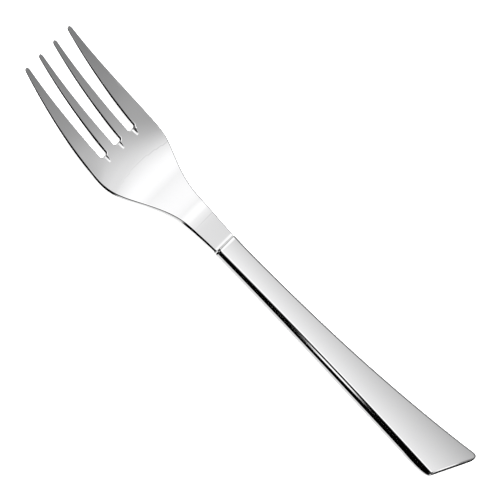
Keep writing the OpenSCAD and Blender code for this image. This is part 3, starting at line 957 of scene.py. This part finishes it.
def studio_world(studio):
    """White reflectors above and below, a dark side, and a grey fall-off towards the handle's end."""
    world = bpy.data.worlds.new("Studio")
    world.use_nodes = True
    graph = Graph(world.node_tree)
    x, y, z = graph.split(graph.node("ShaderNodeTexCoord").outputs["Generated"])
    # Degrees along the fork and across it, and the same towards the handle's end and the dark side
    lengthwise = x.call("ARCSINE").call("DEGREES")
    across = graph.math("ARCTAN2", -y, z).call("DEGREES")
    to_end, dark_way = -lengthwise, -across

    # The soft edge of the overhead reflector, which the head's top mirrors
    reach = 50
    level = graph.curve(lengthwise, reach, (
        (-45, 0.205), (-29, 0.295), (-19, 0.41), (-7.5, 0.64), (-2.9, 0.715), (-1.8, 0.76), (0.7, 0.77),
        (3, 0.83), (8, 0.925), (14, 0.98), (18, 0.98), (24, 0.87), (30, 0.95), (45, 1)))
    slope = graph.curve(lengthwise, reach, (
        (-45, 0), (-26, 0.02), (-16, 0.16), (-13, 0.25), (-7, 0.27), (-2, 0.05), (8, 0)))
    aside = across.at_least(16).at_most(32) - 24
    overhead = level + slope * 0.05 * aside
    # The narrow spot that the handle's flat top mirrors
    spot = 0.735 + lengthwise * 0.1 + (0.038 + lengthwise * 0.011) * aside
    overhead = overhead.mix(spot, lengthwise.between(-1.5, -1.05, 0.15, 0.5))

    white, grey, dim, pale, black = 1.05, 0.19, 0.3, 0.66, 0.0005
    # Above the near side the tines see no white, and the handle's end sees a white strip
    above_tines = to_end.rise(13, 22)
    strip = across.between(2, 5, 10, 14) * to_end.rise(28, 33)
    near = (overhead * 1.25 - white) * above_tines + white
    light = near.mix(overhead, across.rise(3, 12)).mix(white, strip)
    light = light.mix(grey, (across - 10 * to_end.rise(8, 12)).rise(34, 43))
    dark_side = dark_way.rise(78, 88).at_least(above_tines * dark_way.rise(15, 50))
    light = light.mix(dim, dark_way.rise(44, 53)).mix(black, dark_side)
    # A dark panel, which the far walls of the ramps and the handle's near edge mirror
    panel = 0.85 * lengthwise.between(1, 1.8, 16, 26)
    light = light.mix(black, panel * dark_way.rise(46, 51))
    # Below: pale under the dark side but not towards the head, pale or black under the other
    towards_head = lengthwise.rise(5, 10)
    light = light.mix(pale, dark_way.rise(162.5, 167) * (1 - towards_head))
    ends = to_end.rise(7, 11).at_least(towards_head)
    light = light.mix(pale, across.rise(164, 176)).mix(black, across.rise(140, 152) * ends)
    # A small bright gap in the dark side
    gap = lengthwise.between(0.8, 0.88, 0.95, 1.165) * dark_way.between(150, 154.5, 156.1, 156.6)
    light = light.mix(white, gap)
    # Dimmer towards both ends
    light = light * (1 - 0.75 * to_end.rise(60, 76)) * (1 - 0.5 * lengthwise.rise(55, 70))

    seen = graph.node("ShaderNodeLightPath").outputs["Is Camera Ray"]
    reflectors = graph.node("ShaderNodeBackground", {
        "Color": (1, 1, 1, 1), "Strength": light * studio.reflector_gain})
    backdrop = graph.node("ShaderNodeBackground", {"Color": (0.93, 0.93, 0.93, 1), "Strength": 1})
    mixed = graph.node("ShaderNodeMixShader", {0: seen, 1: reflectors, 2: backdrop})
    graph.node("ShaderNodeOutputWorld", {0: mixed})
    return world


def studio_floor(studio):
    """A pale floor that the polished steel does not mirror."""
    half = studio.floor_size / 2
    mesh = bpy.data.meshes.new("Floor")
    mesh.from_pydata([(-half, -half, 0), (half, -half, 0), (half, half, 0), (-half, half, 0)],
                     [], [(0, 1, 2, 3)])
    material, graph = new_material("pale_floor")
    speckle = graph.noise(stretched(graph, (1, 1, 1)), 400, 2)
    paler = [min(1, level * 1.01) for level in studio.floor]
    graph.surface({
        "Base Color": graph.blend(speckle, studio.floor, paler), "Roughness": 0.9,
        "Specular IOR Level": 0.1, "Emission Color": (1, 1, 1, 1), "Emission Strength": studio.floor_glow})
    mesh.materials.append(material)
    floor = add_object("Floor", mesh)
    below = 0.05 * MM
    floor.location.z = -below
    floor.visible_glossy = False


def studio_key(studio):
    """A broad soft light from above, which the steel does not mirror."""
    height, aside = 2, 0.3
    light = bpy.data.lights.new("Key", "AREA")
    light.shape = "DISK"
    light.size = 2.5
    light.energy = studio.key_power
    key = add_object("Key", light)
    key.location = (0, -aside, height)
    key.rotation_euler = (-math.atan2(aside, height), 0, 0)
    key.visible_glossy = False
    key.visible_camera = False


def studio_camera(studio):
    """A long lens at the photograph's angle, rolled so that the fork lies along the diagonal."""
    lift, roll = studio.elevation, studio.roll
    back = Vector((0, math.cos(lift), math.sin(lift)))
    right = Vector((-1, 0, 0))
    upward = back.cross(right)
    turned_right = right * math.cos(roll) + upward * math.sin(roll)
    turned_up = back.cross(turned_right)
    aim = Vector((JOINT_X - studio.aim_back, studio.aim_y, studio.aim_z))
    data = bpy.data.cameras.new("Camera")
    data.sensor_width = 36
    data.lens = data.sensor_width * studio.distance / studio.view_width
    camera = add_object("Camera", data)
    axes = Matrix((turned_right, turned_up, back)).transposed().to_4x4()
    camera.matrix_world = Matrix.Translation(aim + back * studio.distance) @ axes
    bpy.context.scene.camera = camera


class FORK_OT_stage(bpy.types.Operator):
    """Floor, light and camera"""

    bl_idname = "fork.stage"
    bl_label = "Stage"

    def execute(self, context):
        studio = context.scene.fork_studio
        context.scene.view_settings.view_transform = "Standard"
        context.scene.world = studio_world(studio)
        studio_floor(studio)
        studio_key(studio)
        studio_camera(studio)
        return {"FINISHED"}


class FORK_PT_panel(bpy.types.Panel):
    """Lists the steps that build the fork"""

    bl_idname = "FORK_PT_panel"
    bl_label = "Steak fork"
    bl_space_type = "VIEW_3D"
    bl_region_type = "UI"
    bl_category = "Fork"

    def draw(self, context):
        for step in STEPS:
            self.layout.operator(step.bl_idname)
        for name in GROUPS:
            box = self.layout.box()
            group = getattr(context.scene, name)
            for key in size_labels(group):
                box.prop(group, key)


STEPS = (FORK_OT_head, FORK_OT_shells, FORK_OT_fillers, FORK_OT_stage)
GROUPS = {"fork_head": ForkHeadSizes, "fork_handle": ForkHandleSizes,
          "fork_finish": ForkFinish, "fork_studio": ForkStudio}
CLASSES = (*GROUPS.values(), *STEPS, FORK_PT_panel)


def register():
    for item in CLASSES:
        bpy.utils.register_class(item)
    for name, group in GROUPS.items():
        setattr(bpy.types.Scene, name, PointerProperty(type=group))


def unregister():
    for name in GROUPS:
        delattr(bpy.types.Scene, name)
    for item in reversed(CLASSES):
        bpy.utils.unregister_class(item)


def main():
    register()
    bpy.ops.fork.head()
    bpy.ops.fork.shells()
    bpy.ops.fork.fillers()
    bpy.ops.fork.stage()


if __name__ == "__main__":
    main()
